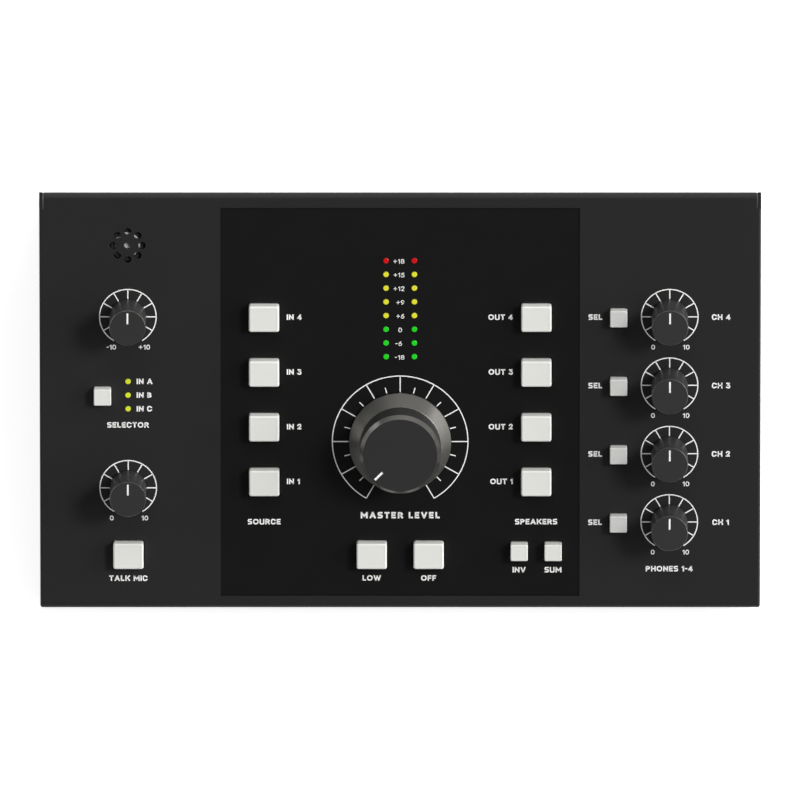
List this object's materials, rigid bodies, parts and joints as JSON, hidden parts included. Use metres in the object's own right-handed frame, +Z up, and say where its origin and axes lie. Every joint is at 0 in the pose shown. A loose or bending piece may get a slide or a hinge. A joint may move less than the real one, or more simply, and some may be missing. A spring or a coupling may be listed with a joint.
{
  "type": "studio monitor controller",
  "caption": "Wedge-shaped desk-top monitor controller: sloping panel with a large volume knob, small rotary levels, push buttons, a lamp meter, and plug sockets behind.",
  "frame": {"origin": "on the desk, under the middle of the case", "axes": "+X to the right of the user, +Y to the rear where the sockets are, +Z up"},
  "size_m": [0.268, 0.1544, 0.0726],
  "materials": {
    "cover_paint": "fine matt powder coat over folded steel",
    "fascia_anodised": "smooth dark anodised plate",
    "plain_steel": "zinc-plated steel",
    "base_paint": "matt black paint over steel",
    "button_plastic": "moulded off-white plastic, satin",
    "knob_plastic": "moulded dark plastic, satin",
    "shaft_metal": "turned aluminium",
    "lamp_red": "tinted lens, lit",
    "lamp_yellow": "tinted lens, lit",
    "lamp_green": "tinted lens, lit",
    "lamp_source": "tinted lens, lit",
    "board": "glass-epoxy circuit board with green solder mask",
    "switch_plastic": "moulded black plastic",
    "pot_case": "pressed steel can",
    "brass": "turned brass",
    "screw_steel": "blackened steel",
    "nut_steel": "nickel-plated",
    "jack_plastic": "moulded black plastic",
    "capsule_metal": "bare aluminium can",
    "rubber": "black rubber",
    "coax_orange": "moulded plastic block with a nickel-plated barrel",
    "relay_plastic": "sealed plastic case",
    "capacitor_sleeve": "shrunk sleeve over an aluminium can",
    "ribbon": "grey flat cable with black headers"
  },
  "bodies": {
    "case": {"aux_socket": "jack_plastic", "base_plate": "base_paint", "board_screws": "screw_steel", "case_screws": "screw_steel", "centre_fascia": "fascia_anodised", "coax_socket": "coax_orange", "connector_board": "board", "connector_panel": "cover_paint", "control_board": "board", "fascia_carrier": "plain_steel", "foot_screws": "screw_steel", "jack_nuts": "nut_steel", "line_jacks": "jack_plastic", "main_pot": "pot_case", "main_pot_nut": "nut_steel", "meter_lamps_green": "lamp_green", "meter_lamps_red": "lamp_red", "meter_lamps_yellow": "lamp_yellow", "microphone_boot": "rubber", "optical_socket": "jack_plastic", "phones_jacks": "jack_plastic", "power_inlet": "jack_plastic", "power_switch": "jack_plastic", "push_switches": "switch_plastic", "relays": "relay_plastic", "ribbon_cable": "ribbon", "rubber_feet": "rubber", "small_pots": "pot_case", "source_lamps": "lamp_source", "standoffs": "brass", "supply_capacitors": "capacitor_sleeve", "talkback_microphone": "capsule_metal", "top_cover": "cover_paint"},
    "input_button_4": {"input_button_4": "button_plastic"},
    "output_button_4": {"output_button_4": "button_plastic"},
    "input_button_3": {"input_button_3": "button_plastic"},
    "output_button_3": {"output_button_3": "button_plastic"},
    "input_button_2": {"input_button_2": "button_plastic"},
    "output_button_2": {"output_button_2": "button_plastic"},
    "input_button_1": {"input_button_1": "button_plastic"},
    "output_button_1": {"output_button_1": "button_plastic"},
    "dim_button": {"dim_button": "button_plastic"},
    "mute_button": {"mute_button": "button_plastic"},
    "talkback_button": {"talkback_button": "button_plastic"},
    "polarity_button": {"polarity_button": "button_plastic"},
    "mono_button": {"mono_button": "button_plastic"},
    "select_button": {"select_button": "button_plastic"},
    "phones_source_button_4": {"phones_source_button_4": "button_plastic"},
    "phones_source_button_3": {"phones_source_button_3": "button_plastic"},
    "phones_source_button_2": {"phones_source_button_2": "button_plastic"},
    "phones_source_button_1": {"phones_source_button_1": "button_plastic"},
    "trim_knob": {"trim_knob": "knob_plastic"},
    "talkback_knob": {"talkback_knob": "knob_plastic"},
    "phones_knob_4": {"phones_knob_4": "knob_plastic"},
    "phones_knob_3": {"phones_knob_3": "knob_plastic"},
    "phones_knob_2": {"phones_knob_2": "knob_plastic"},
    "phones_knob_1": {"phones_knob_1": "knob_plastic"},
    "main_knob": {"main_knob": "knob_plastic", "main_shaft": "shaft_metal"},
    "power_rocker": {"power_rocker": "switch_plastic"}
  },
  "joints": [
    {"name": "input_button_4_press", "type": "slide", "parent": "case", "child": "input_button_4", "axis": [0, 0.2588, -0.9659], "range_m": [0, 0.0012], "stiffness_N_per_m": 600},
    {"name": "output_button_4_press", "type": "slide", "parent": "case", "child": "output_button_4", "axis": [0, 0.2588, -0.9659], "range_m": [0, 0.0012], "stiffness_N_per_m": 600},
    {"name": "input_button_3_press", "type": "slide", "parent": "case", "child": "input_button_3", "axis": [0, 0.2588, -0.9659], "range_m": [0, 0.0012], "stiffness_N_per_m": 600},
    {"name": "output_button_3_press", "type": "slide", "parent": "case", "child": "output_button_3", "axis": [0, 0.2588, -0.9659], "range_m": [0, 0.0012], "stiffness_N_per_m": 600},
    {"name": "input_button_2_press", "type": "slide", "parent": "case", "child": "input_button_2", "axis": [0, 0.2588, -0.9659], "range_m": [0, 0.0012], "stiffness_N_per_m": 600},
    {"name": "output_button_2_press", "type": "slide", "parent": "case", "child": "output_button_2", "axis": [0, 0.2588, -0.9659], "range_m": [0, 0.0012], "stiffness_N_per_m": 600},
    {"name": "input_button_1_press", "type": "slide", "parent": "case", "child": "input_button_1", "axis": [0, 0.2588, -0.9659], "range_m": [0, 0.0012], "stiffness_N_per_m": 600},
    {"name": "output_button_1_press", "type": "slide", "parent": "case", "child": "output_button_1", "axis": [0, 0.2588, -0.9659], "range_m": [0, 0.0012], "stiffness_N_per_m": 600},
    {"name": "dim_button_press", "type": "slide", "parent": "case", "child": "dim_button", "axis": [0, 0.2588, -0.9659], "range_m": [0, 0.0012], "stiffness_N_per_m": 600},
    {"name": "mute_button_press", "type": "slide", "parent": "case", "child": "mute_button", "axis": [0, 0.2588, -0.9659], "range_m": [0, 0.0012], "stiffness_N_per_m": 600},
    {"name": "talkback_button_press", "type": "slide", "parent": "case", "child": "talkback_button", "axis": [0, 0.2588, -0.9659], "range_m": [0, 0.0012], "stiffness_N_per_m": 600},
    {"name": "polarity_button_press", "type": "slide", "parent": "case", "child": "polarity_button", "axis": [0, 0.2588, -0.9659], "range_m": [0, 0.0012], "stiffness_N_per_m": 600},
    {"name": "mono_button_press", "type": "slide", "parent": "case", "child": "mono_button", "axis": [0, 0.2588, -0.9659], "range_m": [0, 0.0012], "stiffness_N_per_m": 600},
    {"name": "select_button_press", "type": "slide", "parent": "case", "child": "select_button", "axis": [0, 0.2588, -0.9659], "range_m": [0, 0.0012], "stiffness_N_per_m": 600},
    {"name": "phones_source_button_4_press", "type": "slide", "parent": "case", "child": "phones_source_button_4", "axis": [0, 0.2588, -0.9659], "range_m": [0, 0.0012], "stiffness_N_per_m": 600},
    {"name": "phones_source_button_3_press", "type": "slide", "parent": "case", "child": "phones_source_button_3", "axis": [0, 0.2588, -0.9659], "range_m": [0, 0.0012], "stiffness_N_per_m": 600},
    {"name": "phones_source_button_2_press", "type": "slide", "parent": "case", "child": "phones_source_button_2", "axis": [0, 0.2588, -0.9659], "range_m": [0, 0.0012], "stiffness_N_per_m": 600},
    {"name": "phones_source_button_1_press", "type": "slide", "parent": "case", "child": "phones_source_button_1", "axis": [0, 0.2588, -0.9659], "range_m": [0, 0.0012], "stiffness_N_per_m": 600},
    {"name": "trim_knob_turn", "type": "hinge", "parent": "case", "child": "trim_knob", "pos_m": [-0.10115, 0.03094, 0.05496], "axis": [0, 0.2588, -0.9659], "range_deg": [-150, 150]},
    {"name": "talkback_knob_turn", "type": "hinge", "parent": "case", "child": "talkback_knob", "pos_m": [-0.10115, -0.03262, 0.03793], "axis": [0, 0.2588, -0.9659], "range_deg": [-150, 150]},
    {"name": "phones_knob_4_turn", "type": "hinge", "parent": "case", "child": "phones_knob_4", "pos_m": [0.10013, 0.03094, 0.05496], "axis": [0, 0.2588, -0.9659], "range_deg": [-150, 150]},
    {"name": "phones_knob_3_turn", "type": "hinge", "parent": "case", "child": "phones_knob_3", "pos_m": [0.10013, 0.00551, 0.04815], "axis": [0, 0.2588, -0.9659], "range_deg": [-150, 150]},
    {"name": "phones_knob_2_turn", "type": "hinge", "parent": "case", "child": "phones_knob_2", "pos_m": [0.10013, -0.01991, 0.04134], "axis": [0, 0.2588, -0.9659], "range_deg": [-150, 150]},
    {"name": "phones_knob_1_turn", "type": "hinge", "parent": "case", "child": "phones_knob_1", "pos_m": [0.10013, -0.04533, 0.03453], "axis": [0, 0.2588, -0.9659], "range_deg": [-150, 150]},
    {"name": "main_knob_turn", "type": "hinge", "parent": "case", "child": "main_knob", "pos_m": [0, -0.01547, 0.04253], "axis": [0, 0.2588, -0.9659], "range_deg": [-15, 285]},
    {"name": "power_rocker_tilt", "type": "hinge", "parent": "case", "child": "power_rocker", "pos_m": [-0.11602, 0.06715, 0.02612], "axis": [1, 0, 0], "range_deg": [0, 18]}
  ]
}
